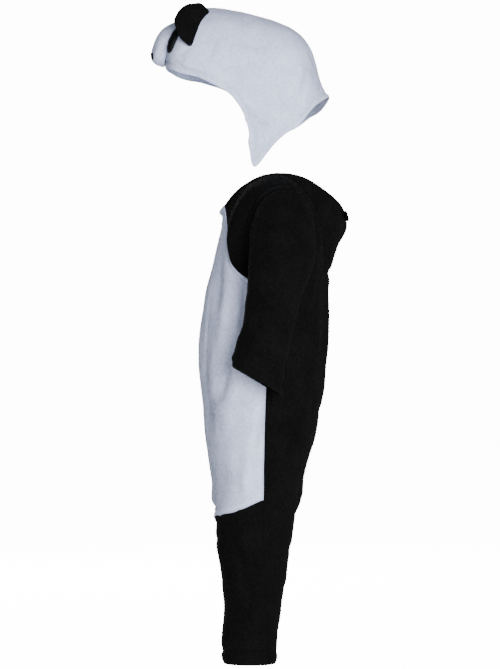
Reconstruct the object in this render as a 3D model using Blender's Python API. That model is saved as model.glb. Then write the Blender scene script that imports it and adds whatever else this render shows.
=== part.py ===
"""Hooded panda costume for a child of about five: a plush jumpsuit and its separate hood, worn by nobody.

Both garments are hollow walls of short-pile plush, sewn from panels that lie 0.3 mm apart at the seams.
Metres, +Z up, the front faces -Y and the wearer's left is +X. The origin is between the shoulders.
"""
import math
from collections import namedtuple

import bpy
import numpy as np
from mathutils import Vector
from mathutils.bvhtree import BVHTree

COLLECTION = "hooded_panda_costume"

# Cloth: the wall is the knitted backing and its pile together
CLOTH = 0.0036
SEAM_GAP = 0.0003

# Trunk of the jumpsuit, from the armholes down to the crotch; drop is the distance below the origin
TRUNK = (
    # drop, front, back, side, half_width
    (0.190, -0.1315, 0.0760, -0.002, 0.147),
    (0.231, -0.1375, 0.0780, -0.012, 0.149),
    (0.272, -0.1412, 0.0765, -0.020, 0.151),
    (0.313, -0.1413, 0.0730, -0.026, 0.152),
    (0.354, -0.1380, 0.0700, -0.029, 0.152),
    (0.394, -0.1330, 0.0615, -0.031, 0.151),
    (0.435, -0.1305, 0.0555, -0.032, 0.150),
    (0.476, -0.1255, 0.0425, -0.033, 0.149),
    (0.517, -0.1205, 0.0335, -0.033, 0.148),
    (0.558, -0.1265, 0.0340, -0.034, 0.147),
    (0.600, -0.1210, 0.0260, -0.034, 0.145),
)
# Chest in front of the armholes, above the trunk
CHEST = (
    # drop, front, side, half_width
    (0.044, -0.1055, 0.000, 0.130),
    (0.058, -0.1042, 0.000, 0.150),
    (0.075, -0.1035, 0.000, 0.160),
    (0.100, -0.1090, 0.000, 0.160),
    (0.129, -0.1160, 0.000, 0.156),
    (0.150, -0.1212, -0.001, 0.152),
    (0.170, -0.1265, -0.001, 0.149),
    (0.190, -0.1315, -0.002, 0.147),
)
# Centre back line above the trunk, with the loose fullness between the shoulders
CENTRE_BACK = (
    # drop, back
    (0.056, 0.1045),
    (0.068, 0.1085),
    (0.088, 0.1068),
    (0.109, 0.0950),
    (0.129, 0.0855),
    (0.150, 0.0770),
    (0.170, 0.0755),
    (0.190, 0.0760),
)
# Left leg from the crotch to the hem
LEG = (
    # drop, front, back, seam, outer
    (0.500, -0.1200, 0.0360, -0.033, 0.148),
    (0.600, -0.1150, 0.0170, -0.034, 0.145),
    (0.640, -0.1095, 0.0085, -0.032, 0.142),
    (0.680, -0.1050, 0.0045, -0.030, 0.139),
    (0.720, -0.1000, -0.0010, -0.028, 0.137),
    (0.760, -0.1030, -0.0090, -0.026, 0.135),
    (0.778, -0.1035, -0.0128, -0.025, 0.134),
    (0.797, -0.1032, -0.0088, -0.025, 0.134),
    (0.8140, -0.1010, -0.0120, -0.027, 0.132),
)
ROUNDNESS = 0.9
CROTCH_DROP = 0.600
CROTCH_ARCH = 0.070
CROTCH_ARCH_POWER = 2.2
LEG_PARTING = (0.500, 0.630)
HEM_DROP = 0.8140
HEM_INSIDE = 0.027
HEM_INSIDE_POWER = 0.55
CHEST_DROP = 0.190
NECK_CENTRE_DROP = 0.053

# Seam between the white front and the black yoke, from the neck to the armhole
YOKE_SEAM = (
    # x, drop
    (0.050, 0.044),
    (0.076, 0.072),
    (0.098, 0.103),
    (0.110, 0.129),
    (0.115, 0.149),
    (0.133, 0.170),
    (0.147, 0.190),
)
# Lower edge of the white front: its drop at the side seam and at the centre
BELLY_HEM_SIDE = 0.5370
BELLY_HEM_CENTRE = 0.574
BELLY_HEM_POWER = 2.5

# Neck opening of the jumpsuit, left half, from the yoke seam over the shoulder to the centre back
NECK_FRONT = (
    # x, y, z
    (0.050, -0.0985, -0.0440),
    (0.058, -0.0890, -0.0295),
    (0.063, -0.0690, -0.0110),
    (0.066, -0.0290, 0.0080),
    (0.068, -0.0030, 0.0100),
)
NECK_BACK = (
    # x, y, z
    (0.068, -0.0030, 0.0100),
    (0.066, 0.0250, 0.0060),
    (0.058, 0.0575, -0.0090),
    (0.043, 0.0810, -0.0285),
    (0.022, 0.0985, -0.0460),
    (0.000, 0.1045, -0.0560),
)
# Armhole, an oval that stands on edge
ARMHOLE_MID_Z = -0.100
ARMHOLE_HALF_HEIGHT = 0.090
ARMHOLE_HALF_FRONT = 0.060
ARMHOLE_HALF_BACK = 0.056
ARMHOLE_TOP_X = 0.135
ARMHOLE_BOTTOM_X = 0.147
ARMHOLE_HOLLOW = 0.003
SHOULDER_LIFT = 0.004
# How far the middles of the yoke and of the upper back stand out between their borders
YOKE_BULGE = (0.0, -0.006, 0.002)
BACK_BULGE = (0.0, 0.010, 0.0)

# Left sleeve from the armhole to the cuff: outer and inner end of each ring, its middle, depth and tilt
SLEEVE = (
    # outer_x, outer_z, inner_x, inner_z, mid_y, half_depth, tilt_degrees
    (0.163, -0.020, 0.1530, -0.196, -0.001, 0.0590, 0.0),
    (0.192, -0.042, 0.1570, -0.203, -0.002, 0.0585, 0.0),
    (0.215, -0.075, 0.1592, -0.212, -0.006, 0.0545, 0.0),
    (0.230, -0.113, 0.1602, -0.223, -0.011, 0.0505, 0.0),
    (0.238, -0.152, 0.1610, -0.236, -0.015, 0.0475, 2.0),
    (0.242, -0.188, 0.1617, -0.252, -0.019, 0.0450, 5.0),
    (0.244, -0.221, 0.1622, -0.268, -0.024, 0.0430, 9.0),
    (0.244, -0.251, 0.1625, -0.284, -0.030, 0.0430, 14.0),
    (0.243, -0.279, 0.1630, -0.301, -0.037, 0.0440, 21.0),
    (0.242, -0.307, 0.1640, -0.319, -0.041, 0.0460, 27.0),
    (0.240, -0.330, 0.1660, -0.333, -0.0445, 0.0490, 30.0),
    (0.2365, -0.341, 0.1675, -0.344, -0.0400, 0.0440, 29.0),
)

# Largest folds, from one end to the other; negative depth is a trough, and both sides have them
SUIT_FOLDS = (
    # ax, ay, az, bx, by, bz, width, depth
    (0.105, 0.075, -0.070, 0.110, 0.055, -0.330, 0.020, 0.0040),
    (0.080, 0.090, -0.090, 0.070, 0.070, -0.300, 0.018, -0.0045),
    (0.045, 0.100, -0.170, 0.045, 0.070, -0.360, 0.022, 0.0025),
    (0.060, -0.130, -0.200, 0.075, -0.120, -0.400, 0.022, -0.0045),
    (0.030, -0.140, -0.230, 0.020, -0.130, -0.470, 0.024, 0.0030),
    (0.020, -0.140, -0.330, 0.060, -0.125, -0.430, 0.018, -0.0035),
    (0.120, -0.080, -0.380, 0.135, -0.060, -0.500, 0.022, -0.0035),
    (0.200, 0.040, -0.120, 0.215, 0.010, -0.270, 0.018, -0.0060),
    (0.240, -0.030, -0.230, 0.230, -0.070, -0.280, 0.016, -0.0050),
    (0.080, -0.110, -0.640, 0.110, -0.085, -0.700, 0.020, -0.0035),
    (0.060, 0.000, -0.680, 0.110, -0.005, -0.740, 0.020, -0.0035),
)
HOOD_FOLDS = (
    # ax, ay, az, bx, by, bz, width, depth
    (0.095, -0.052, 0.108, 0.090, -0.022, 0.084, 0.014, -0.0030),
    (0.080, 0.040, 0.190, 0.076, 0.034, 0.145, 0.014, 0.0040),
    (0.085, -0.130, 0.176, 0.092, -0.090, 0.168, 0.012, 0.0030),
)

# Hood: its profile over the crown, from the middle of the face edge to the nape
CROWN = (
    # y, z
    (-0.2000, 0.1905),
    (-0.2000, 0.2110),
    (-0.1965, 0.2295),
    (-0.1895, 0.2480),
    (-0.1810, 0.2640),
    (-0.1670, 0.2790),
    (-0.1470, 0.2890),
    (-0.1207, 0.2930),
    (-0.0901, 0.2887),
    (-0.0646, 0.2838),
    (-0.0425, 0.2780),
    (-0.0187, 0.2720),
    (0.0034, 0.2635),
    (0.0238, 0.2516),
    (0.0374, 0.2380),
    (0.0493, 0.2176),
    (0.0561, 0.1955),
    (0.0612, 0.1768),
    (0.0663, 0.1581),
    (0.0805, 0.1425),
)
# Lower edge of the hood's left side, beside the place on the crown that each point hangs from: along the
# face, down the flap to its tip, and from there up along the neck to the nape
EDGE = (
    # place, x, y, z
    (0.000, 0.000, -0.2000, 0.1905),
    (0.070, 0.040, -0.1982, 0.1895),
    (0.130, 0.067, -0.1885, 0.1850),
    (0.190, 0.082, -0.1690, 0.1765),
    (0.250, 0.089, -0.1440, 0.1705),
    (0.310, 0.093, -0.1156, 0.1565),
    (0.370, 0.094, -0.0915, 0.1424),
    (0.420, 0.094, -0.0762, 0.1239),
    (0.460, 0.093, -0.0678, 0.1098),
    (0.510, 0.090, -0.0611, 0.0899),
    (0.560, 0.085, -0.0563, 0.0634),
    (0.600, 0.079, -0.0556, 0.0385),
    (0.630, 0.074, -0.0494, 0.0195),
    (0.655, 0.074, -0.0376, 0.0304),
    (0.700, 0.077, -0.0209, 0.0512),
    (0.750, 0.080, -0.0041, 0.0687),
    (0.800, 0.081, 0.0118, 0.0804),
    (0.850, 0.079, 0.0278, 0.0900),
    (0.910, 0.069, 0.0481, 0.1163),
    (0.960, 0.044, 0.0671, 0.1340),
    (1.000, 0.000, 0.0805, 0.1425),
)
# How far the hood bulges past its edge, and how far down its widest level lies, along the crown
BULGE = (
    # place, bulge, level
    (0.00, 0.000, 1.00),
    (0.10, 0.003, 1.00),
    (0.25, 0.005, 0.95),
    (0.34, 0.004, 0.80),
    (0.42, 0.004, 0.58),
    (0.51, 0.008, 0.42),
    (0.60, 0.018, 0.34),
    (0.63, 0.023, 0.32),
    (0.70, 0.018, 0.34),
    (0.78, 0.012, 0.52),
    (0.85, 0.010, 0.75),
    (0.92, 0.004, 0.95),
    (1.00, 0.000, 1.00),
)
TIP_PLACE = 0.63
# How much higher the flap on the right hangs than the one on the left
RIGHT_LIFT = (
    # y, lift
    (-0.1800, 0.0000),
    (-0.1400, 0.0050),
    (-0.1150, 0.0100),
    (-0.0910, 0.0125),
    (-0.0700, 0.0120),
    (-0.0500, 0.0095),
    (-0.0200, 0.0085),
    (0.0120, 0.0085),
    (0.0280, 0.0060),
    (0.0480, -0.0050),
    (0.0670, -0.0120),
    (0.0805, 0.0000),
)
LIFT_REACH = (0.005, 0.050)
LIFT_DROP = (-0.215, -0.140)

# Base line of an ear as seen from the side, from the crown down to the temple
EAR_BASE = (
    # y, z
    (-0.1315, 0.2838),
    (-0.1418, 0.2755),
    (-0.1515, 0.2610),
    (-0.1555, 0.2472),
    (-0.1572, 0.2356),
    (-0.1567, 0.2265),
)
EAR_HEIGHT = 0.0455
EAR_LEAN = (0.68, -0.73, 0.03)
EAR_FAN = 0.40
EAR_HALF_THICKNESS = 0.0085
EAR_GAP = 0.0014
# How much lower the ear stands towards its lower end, and between which shares of its base
EAR_TAPER = 0.30
EAR_TAPER_SPAN = (0.45, 0.90)

# Pieces that lie on the cloth, seen from a point straight in front of each: the axes and half sizes of the
# outline, the thickness at the rim and in the middle, and the gap to what the piece lies on
Pad = namedtuple("Pad", "centre right up half_width half_height rim crown squareness sag rings spokes gap")
NECK_TAB = Pad(
    centre=(0.0, 0.2, -0.065), right=(-1, 0, 0), up=(0, 0, 1), half_width=0.016, half_height=0.0075,
    rim=0.0015, crown=0.002, squareness=5.0, sag=0.0, rings=2, spokes=16, gap=0.0014,
)
MUZZLE = Pad(
    centre=(0.0, -0.4, 0.2305), right=(1, 0, 0), up=(0, 0, 1), half_width=0.036, half_height=0.038,
    rim=0.006, crown=0.0238, squareness=2.2, sag=0.003, rings=6, spokes=24, gap=0.0016,
)
NOSE = Pad(
    centre=(0.0, -0.4, 0.2095), right=(1, 0, 0), up=(0, 0, 1), half_width=0.016, half_height=0.0075,
    rim=0.0008, crown=0.0012, squareness=2.4, sag=0.0, rings=3, spokes=16, gap=0.0005,
)
EYE_PATCH = Pad(
    centre=(0.183, -0.4, 0.2475), right=(0.85, 0.53, 0.1), up=(-0.1, 0, 1), half_width=0.0115,
    half_height=0.0220, rim=0.003, crown=0.0045, squareness=2.2, sag=0.0, rings=3, spokes=16, gap=0.0014,
)

# Numbers of faces along the panels
FRONT_FACES = 9
BACK_FACES = 12
CENTRE_FRONT_FACES = 3
SHOULDER_FACES = 6
ARMHOLE_FACES = 8
BELLY_FACES = 15
RISE_FACES = 3
LEG_FACES = 10
HOOD_FACE_COLUMNS = 15
HOOD_NECK_COLUMNS = 9
HOOD_FACE_SIZE = 0.020
HOOD_ROUND_STEPS = 12
HOOD_FALL_STEPS = 6
EAR_SECTIONS = 12
EAR_ARC_FACES = 8

WHITE = ("white_plush", (0.78, 0.80, 0.85, 1.0), 0.95)
BLACK = ("black_plush", (0.014, 0.014, 0.016, 1.0), 0.95)
NOSE_BLACK = ("black_felt", (0.010, 0.010, 0.011, 1.0), 0.85)


def read(table, at):
    """All columns but the first of a table, on a smooth curve, where its first column has this value."""
    rows = np.array(table, float)
    keys = rows[:, 0]
    at = float(np.clip(at, keys[0], keys[-1]))
    slopes = np.gradient(rows, keys, axis=0)
    i = int(np.clip(np.searchsorted(keys, at) - 1, 0, len(keys) - 2))
    step = keys[i + 1] - keys[i]
    t = (at - keys[i]) / step
    ends = (2 * t**3 - 3 * t**2 + 1) * rows[i] + (3 * t**2 - 2 * t**3) * rows[i + 1]
    lean = (t**3 - 2 * t**2 + t) * slopes[i] + (t**3 - t**2) * slopes[i + 1]
    return (ends + step * lean)[1:]


def along(points, place):
    """The point at this share of the length of a smooth curve through the points."""
    points = np.array(points, float)
    steps = np.linalg.norm(np.diff(points, axis=0), axis=1)
    lengths = np.concatenate([[0.0], np.cumsum(steps)])
    return read(np.column_stack([lengths / lengths[-1], points]), place)


def smoothstep(value, low, high):
    """Rises smoothly from 0 at low to 1 at high."""
    t = min(1.0, max(0.0, (value - low) / (high - low)))
    return t * t * (3 - 2 * t)


def mix(a, b, share):
    """The point or number at this share of the way from a to b."""
    return a * (1 - share) + b * share


def unit(vector):
    """The vector at length one."""
    return vector / max(np.linalg.norm(vector), 1e-12)


class Cloth:
    """Outer surface of one garment: points that the panels share, and each panel's faces."""

    def __init__(self):
        self.points = []
        self.known = {}
        self.panels = {}

    def add(self, xyz):
        """The number of the point at this place, which neighbouring panels share."""
        key = tuple(round(float(c), 6) + 0.0 for c in xyz)
        if key not in self.known:
            self.known[key] = len(self.points)
            self.points.append(np.array(key))
        return self.known[key]

    def row(self, places):
        """The numbers of a row of points."""
        return [self.add(place) for place in places]

    def band(self, panel, first, second):
        """Fills the strip between two rows; its outside is where first-to-second crosses the row's run."""
        faces = self.panels.setdefault(panel, [])
        i = j = 0
        last_i, last_j = len(first) - 1, len(second) - 1
        if last_i == last_j:
            for k in range(last_i):
                faces.append((first[k], second[k], second[k + 1], first[k + 1]))
            return
        while i < last_i or j < last_j:
            if j == last_j or (i < last_i and (i + 1) * last_j <= (j + 1) * last_i):
                faces.append((first[i], second[j], first[i + 1]))
                i += 1
            else:
                faces.append((first[i], second[j], second[j + 1]))
                j += 1

    def rows(self, panel, rows):
        """Fills the strips between each row and the next."""
        for upper, lower in zip(rows, rows[1:]):
            self.band(panel, upper, lower)

    def mirror(self, left, right):
        """Adds a panel's mirror image, to a panel of its own or to the same one."""
        copied = []
        for face in self.panels[left]:
            swapped = [self.add(self.points[p] * (-1, 1, 1)) for p in reversed(face)]
            copied.append(tuple(swapped))
        self.panels.setdefault(right, []).extend(copied)

    def faces(self):
        """Every panel's faces, without the ones that have lost a side."""
        for name, faces in self.panels.items():
            kept = []
            for face in faces:
                corners = tuple(dict.fromkeys(face))
                if len(corners) > 2:
                    kept.append(corners)
            self.panels[name] = kept
        return [face for faces in self.panels.values() for face in faces]

    def relax(self, may_move, rounds, strength):
        """Fairs the surface by moving points part of the way to the middle of their neighbours."""
        faces = self.faces()
        near = {}
        for face in faces:
            for a, b in zip(face, face[1:] + face[:1]):
                near.setdefault(a, set()).add(b)
                near.setdefault(b, set()).add(a)
        free = [p for p in near if may_move(self.points[p])]
        free = sorted(set(free) - loop_points(faces))
        for _ in range(rounds):
            middles = [np.mean([self.points[q] for q in sorted(near[p])], axis=0) for p in free]
            for p, middle in zip(free, middles):
                self.points[p] = mix(self.points[p], middle, strength)

    def fold(self, folds):
        """Raises ridges and sinks troughs along lines that lie near the surface, on both sides."""
        normals = self.normals()
        moved = []
        for place, normal in zip(self.points, normals):
            offset = 0.0
            mirrored = place * (np.sign(place[0]) or 1.0, 1, 1)
            for ax, ay, az, bx, by, bz, width, depth in folds:
                start, end = np.array((ax, ay, az)), np.array((bx, by, bz))
                run = end - start
                share = np.clip(np.dot(mirrored - start, run) / np.dot(run, run), 0, 1)
                distance = np.linalg.norm(mirrored - start - share * run)
                offset += depth * math.exp(-((distance / width) ** 2)) * math.sin(math.pi * share) ** 0.5
            moved.append(place + normal * offset)
        self.points = moved

    def normals(self):
        """Outward direction at each point, shared by the panels there; a sleeve weighs as much as the body."""
        self.faces()
        total = np.zeros((len(self.points), 3))
        sleeves = [name for name in self.panels if name.startswith("sleeve")]
        for names in (sleeves, [name for name in self.panels if name not in sleeves]):
            sums = np.zeros((len(self.points), 3))
            for face in (face for name in names for face in self.panels[name]):
                corners = [self.points[p] for p in face]
                area = sum(np.cross(b - corners[0], c - corners[0]) for b, c in zip(corners[1:], corners[2:]))
                for p in face:
                    sums[p] += area
            total += np.array([unit(direction) for direction in sums])
        return np.array([unit(direction) for direction in total])

    def tree(self):
        """The outer surface as a search tree, to lay other pieces on."""
        return BVHTree.FromPolygons([Vector(p) for p in self.points], self.faces())


def loop_edges(faces):
    """Edges that belong to one face only, each in its face's direction."""
    edges = {(a, b) for face in faces for a, b in zip(face, face[1:] + face[:1])}
    return sorted(edge for edge in edges if (edge[1], edge[0]) not in edges)


def loop_points(faces):
    """Points on the free edges of these faces."""
    return {p for edge in loop_edges(faces) for p in edge}


def drawn_in(cloth, faces):
    """A panel's points, those on its edge drawn in by half the gap that a seam keeps."""
    places = {p: cloth.points[p] for face in faces for p in face}
    beside = {edge: face for face in faces for edge in zip(face, face[1:] + face[:1])}
    inward = {}
    for a, b in loop_edges(faces):
        start, run = places[a], unit(places[b] - places[a])
        middle = np.mean([places[p] for p in beside[a, b]], axis=0) - start
        across = unit(middle - run * np.dot(middle, run))
        inward.setdefault(a, []).append(across)
        inward.setdefault(b, []).append(across)
    for p, (first, second) in inward.items():
        reach = max(0.35, 1 + float(np.dot(first, second)))
        places[p] = places[p] + (first + second) * (SEAM_GAP / 2) / reach
    return places


def cut_bent(places, faces):
    """The faces, with each bent one cut along its shorter diagonal, so that both sides of a wall bend alike."""
    kept = []
    for face in faces:
        corners = [places[p] for p in face]
        if len(face) == 4:
            a, b, c, d = corners
            bend = abs(np.dot(unit(np.cross(b - a, c - a)), d - a))
            if bend > CLOTH / 2:
                turned = face if np.linalg.norm(a - c) < np.linalg.norm(b - d) else face[1:] + face[:1]
                kept += [turned[:3], (turned[0], turned[2], turned[3])]
                continue
        kept.append(face)
    return kept


def wall(cloth, name, normals, thickness):
    """Vertices and faces of one panel as a closed wall of even thickness."""
    places = drawn_in(cloth, cloth.panels[name])
    faces = cut_bent(places, cloth.panels[name])
    order = {p: k for k, p in enumerate(sorted(places))}
    outside = [places[p] for p in sorted(places)]
    inside = [places[p] - normals[p] * thickness for p in sorted(places)]
    count = len(order)
    made = [tuple(order[p] for p in face) for face in faces]
    made += [tuple(count + order[p] for p in reversed(face)) for face in faces]
    for a, b in loop_edges(faces):
        made += rim(order[a], order[b], count + order[a], count + order[b], a < b)
    return outside + inside, made


def rim(a, b, a_inside, b_inside, from_a):
    """The wall's edge as two triangles, cut the same way on both sides of a seam."""
    if from_a:
        return [(b, a, b_inside), (a, a_inside, b_inside)]
    return [(b, a, a_inside), (b, a_inside, b_inside)]


def trunk_point(share, drop):
    """Left half of the trunk's outline at one height: share 0 is centre front, 0.5 the side, 1 the back."""
    front, back, side, half_width = read(TRUNK, drop)
    turn = math.pi * share
    reach = abs(math.cos(turn)) ** ROUNDNESS
    end = front if share < 0.5 else back
    return np.array([half_width * abs(math.sin(turn)) ** ROUNDNESS, side + (end - side) * reach, -drop])


def inside_leg(drop):
    """Distance of the inseam from the middle plane: the legs part in an arch below the crotch."""
    below = max(0.0, drop - CROTCH_DROP) / (HEM_DROP - CROTCH_DROP)
    return HEM_INSIDE * below**HEM_INSIDE_POWER


def leg_point(share, drop):
    """Outline of the left leg at one height: share 0 and 1 are the inseam, 0.5 the side seam."""
    front, back, seam, outer = read(LEG, drop)
    inner = inside_leg(drop)
    half_width, half_depth = (outer - inner) / 2, (back - front) / 2
    middle_y = (front + back) / 2
    past_side = math.asin((seam - middle_y) / half_depth)
    to_seam, from_seam = math.pi + past_side, math.pi - past_side
    turn = to_seam * share / 0.5 if share < 0.5 else to_seam + from_seam * (share - 0.5) / 0.5
    return np.array([inner + half_width * (1 - math.cos(turn)), middle_y - half_depth * math.sin(turn), -drop])


def body_point(share, drop):
    """The jumpsuit below the armholes, where one trunk parts into two legs."""
    lift = np.clip((drop - (CROTCH_DROP - CROTCH_ARCH)) / CROTCH_ARCH, 0, 1)
    arch = lift**CROTCH_ARCH_POWER
    parting = smoothstep(drop, *LEG_PARTING)
    parted = mix(arch, parting, smoothstep(min(share, 1 - share), 0.0, 0.14))
    trunk, leg = trunk_point(share, min(drop, CROTCH_DROP)), leg_point(share, drop)
    x, y, _ = mix(trunk, leg, parted)
    return np.array([x, y, -drop])


def belly_hem(share):
    """Drop of the white front's lower edge."""
    rise = (share / 0.5) ** BELLY_HEM_POWER
    return mix(BELLY_HEM_CENTRE, BELLY_HEM_SIDE, rise)


def side_drops():
    """Drops of the rows of faces at the side seam."""
    belly = np.linspace(CHEST_DROP, BELLY_HEM_SIDE, BELLY_FACES + 1)
    rise = np.linspace(BELLY_HEM_SIDE, CROTCH_DROP, RISE_FACES + 1)[1:]
    leg = CROTCH_DROP + (HEM_DROP - CROTCH_DROP) * np.linspace(0, 1, LEG_FACES + 1)[1:] ** 1.3
    return np.concatenate([belly, rise, leg])


def front_drop(share, side_drop):
    """Drop of a row at the front, where the rows follow the white panel's lower edge."""
    hem = belly_hem(share)
    if side_drop <= BELLY_HEM_SIDE:
        return CHEST_DROP + (hem - CHEST_DROP) * (side_drop - CHEST_DROP) / (BELLY_HEM_SIDE - CHEST_DROP)
    if side_drop <= CROTCH_DROP:
        return hem + (CROTCH_DROP - hem) * (side_drop - BELLY_HEM_SIDE) / (CROTCH_DROP - BELLY_HEM_SIDE)
    return side_drop


def chest_point(turn, drop):
    """The chest in front of the armholes; turn 0 is the centre front."""
    front, side, half_width = read(CHEST, drop)
    x = half_width * math.sin(turn) ** ROUNDNESS
    return np.array([x, side + (front - side) * math.cos(turn) ** ROUNDNESS, -drop])


def chest_turn(x, drop):
    """The turn at which the chest reaches this distance from the middle."""
    half_width = read(CHEST, drop)[2]
    return math.asin(min(1.0, x / half_width) ** (1 / ROUNDNESS))


def armhole_point(turn, half_depth):
    """Left armhole; turn 0 is the shoulder, half a turn the armpit, a positive depth the back."""
    down = (1 - math.cos(turn)) / 2
    x = mix(ARMHOLE_TOP_X, ARMHOLE_BOTTOM_X, down) - ARMHOLE_HOLLOW * math.sin(turn)
    y = mix(0.0, -0.002, down) + half_depth * math.sin(turn)
    return np.array([x, y, ARMHOLE_MID_Z + ARMHOLE_HALF_HEIGHT * math.cos(turn)])


def shoulder_point(share):
    """Shoulder seam from the neck to the armhole."""
    start, end = np.array(NECK_FRONT[-1]), armhole_point(0.0, 0.0)
    return mix(start, end, share) + (0, 0, SHOULDER_LIFT * math.sin(math.pi * share))


def patch_between(top, bottom, left, right, bulge):
    """Rows of a four-sided patch filled in between its borders, with a soft bulge in the middle."""
    rows = []
    for j, (start, end) in enumerate(zip(left, right)):
        v = j / (len(left) - 1)
        row = []
        for i, (above, below) in enumerate(zip(top, bottom)):
            u = i / (len(top) - 1)
            flat = mix(mix(top[0], top[-1], u), mix(bottom[0], bottom[-1], u), v)
            place = mix(above, below, v) + mix(start, end, u) - flat
            row.append(place + np.array(bulge) * (16 * u * (1 - u) * v * (1 - v)))
        rows.append(row)
    return rows


def make_chest(suit):
    """White front and yoke from the neck to the armholes, on the left half."""
    seam = [chest_point(chest_turn(x, drop), drop) for x, drop in YOKE_SEAM[:-1]]
    seam.append(armhole_point(math.pi, 0.0))
    rows = []
    for j, (end, drop) in enumerate(zip(seam, np.linspace(NECK_CENTRE_DROP, CHEST_DROP, len(seam)))):
        faces = CENTRE_FRONT_FACES + j
        last = chest_turn(end[0], -end[2])
        places = []
        for i in range(faces):
            share = i / faces
            places.append(chest_point(last * share, mix(drop, -end[2], share)))
        rows.append(suit.row(places + [end]))
    bottom = [body_point(0.5 * i / FRONT_FACES, CHEST_DROP) for i in range(FRONT_FACES)]
    rows[-1] = suit.row(bottom + [seam[-1]])
    suit.rows("belly_front", rows)

    neck = [along(NECK_FRONT, k / ARMHOLE_FACES) for k in range(ARMHOLE_FACES + 1)]
    neck[0] = seam[0]
    turns = [math.pi * (1 - k / ARMHOLE_FACES) for k in range(ARMHOLE_FACES + 1)]
    arm = [armhole_point(turn, -ARMHOLE_HALF_FRONT) for turn in turns]
    shoulder = [shoulder_point(i / SHOULDER_FACES) for i in range(SHOULDER_FACES + 1)]
    grid = patch_between(seam, shoulder, neck, arm, YOKE_BULGE)
    suit.rows("yoke_left", [suit.row(row) for row in reversed(grid)])


def make_upper_back(suit):
    """Back from the shoulder and neck down to the armhole's level, on the left half."""
    shoulder = [shoulder_point(1 - i / SHOULDER_FACES) for i in range(SHOULDER_FACES + 1)]
    neck_faces = BACK_FACES - SHOULDER_FACES
    neck = [along(NECK_BACK, i / neck_faces) for i in range(1, neck_faces + 1)]
    bottom = [body_point(0.5 + 0.5 * i / BACK_FACES, CHEST_DROP) for i in range(BACK_FACES + 1)]
    bottom[0] = armhole_point(math.pi, 0.0)
    arm = [armhole_point(math.pi * j / ARMHOLE_FACES, ARMHOLE_HALF_BACK) for j in range(ARMHOLE_FACES + 1)]
    centre = []
    for j in range(ARMHOLE_FACES + 1):
        drop = mix(CENTRE_BACK[0][0], CHEST_DROP, j / ARMHOLE_FACES)
        centre.append(np.array([0.0, read(CENTRE_BACK, drop)[0], -drop]))
    grid = patch_between(shoulder + neck, bottom, arm, centre, BACK_BULGE)
    suit.rows("back_left", [suit.row(row) for row in grid])


def make_body(suit):
    """White front, front leg and back from the armholes to the hem, on the left half."""
    armpit = armhole_point(math.pi, 0.0)
    front_rows, back_rows = [], []
    for side_drop in side_drops():
        front = []
        for i in range(FRONT_FACES + 1):
            share = 0.5 * i / FRONT_FACES
            front.append(body_point(share, front_drop(share, side_drop)))
        back = [body_point(0.5 + 0.5 * i / BACK_FACES, side_drop) for i in range(BACK_FACES + 1)]
        if side_drop == CHEST_DROP:
            front[-1] = back[0] = armpit
        front_rows.append(suit.row(front))
        back_rows.append(suit.row(back))
    suit.rows("belly_front", front_rows[: BELLY_FACES + 1])
    suit.rows("front_leg_left", front_rows[BELLY_FACES:])
    suit.rows("back_left", back_rows)


def sleeve_ring(outer_x, outer_z, inner_x, inner_z, mid_y, half_depth, tilt_degrees):
    """Points of one ring of the left sleeve, from the outside by the front, the inside and the back."""
    tilt = math.radians(tilt_degrees)
    middle = np.array([(outer_x + inner_x) / 2, mid_y, (outer_z + inner_z) / 2])
    outward = np.array([outer_x - inner_x, 0.0, outer_z - inner_z]) / 2
    forward = np.array([0.0, -math.cos(tilt), math.sin(tilt)]) * half_depth
    turns = [math.pi * k / ARMHOLE_FACES for k in range(2 * ARMHOLE_FACES)]
    return [middle + outward * math.cos(turn) + forward * math.sin(turn) for turn in turns]


def make_sleeve(suit):
    """Left sleeve, a tube from the armhole to the cuff."""
    turns = [math.pi * k / ARMHOLE_FACES for k in range(ARMHOLE_FACES + 1)]
    armhole = [armhole_point(turn, -ARMHOLE_HALF_FRONT) for turn in turns]
    armhole += [armhole_point(turn, ARMHOLE_HALF_BACK) for turn in reversed(turns[1:-1])]
    rings = [armhole] + [sleeve_ring(*ring) for ring in SLEEVE]
    rows = [suit.row(ring + ring[:1]) for ring in rings]
    suit.rows("sleeve_left", list(reversed(rows)))


def make_suit():
    """The jumpsuit's outer surface with all its panels."""
    suit = Cloth()
    make_chest(suit)
    make_upper_back(suit)
    make_body(suit)
    make_sleeve(suit)
    suit.mirror("belly_front", "belly_front")
    for panel in ("yoke", "back", "front_leg", "sleeve"):
        suit.mirror(panel + "_left", panel + "_right")
    suit.relax(lambda p: p[2] > -CHEST_DROP - 0.01 and 0.001 < abs(p[0]), 3, 0.4)
    suit.relax(lambda p: abs(p[2] + CROTCH_DROP) < 0.05 and abs(p[0]) < 0.06, 4, 0.5)
    suit.fold(SUIT_FOLDS)
    return suit


def hood_column(place, edge):
    """Points of the hood's left side from the crown down to its edge."""
    crown_y, crown_z = along(CROWN, place)
    bulge, level = read(BULGE, place)
    crown = np.array([0.0, crown_y, crown_z])
    fall = (edge - crown) * (0, 1, 1)
    widest = edge[0] + bulge
    points = [crown]
    for k in range(1, HOOD_ROUND_STEPS + 1):
        turn = math.pi / 2 * k / HOOD_ROUND_STEPS
        points.append(crown + fall * level * (1 - math.cos(turn)) + (widest * math.sin(turn), 0, 0))
    for k in range(1, HOOD_FALL_STEPS + 1):
        share = k / HOOD_FALL_STEPS * (1 - level)
        if share > 0.01:
            narrowing = bulge * (share / (1 - level)) ** 1.5
            points.append(crown + fall * (level + share) + (widest - narrowing, 0, 0))
    points[-1] = edge
    steps = np.linalg.norm(np.diff(points, axis=0), axis=1)
    faces = max(1, round(float(steps.sum()) / HOOD_FACE_SIZE))
    return [crown] + [along(points, i / faces) for i in range(1, faces)] + [edge]


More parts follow.
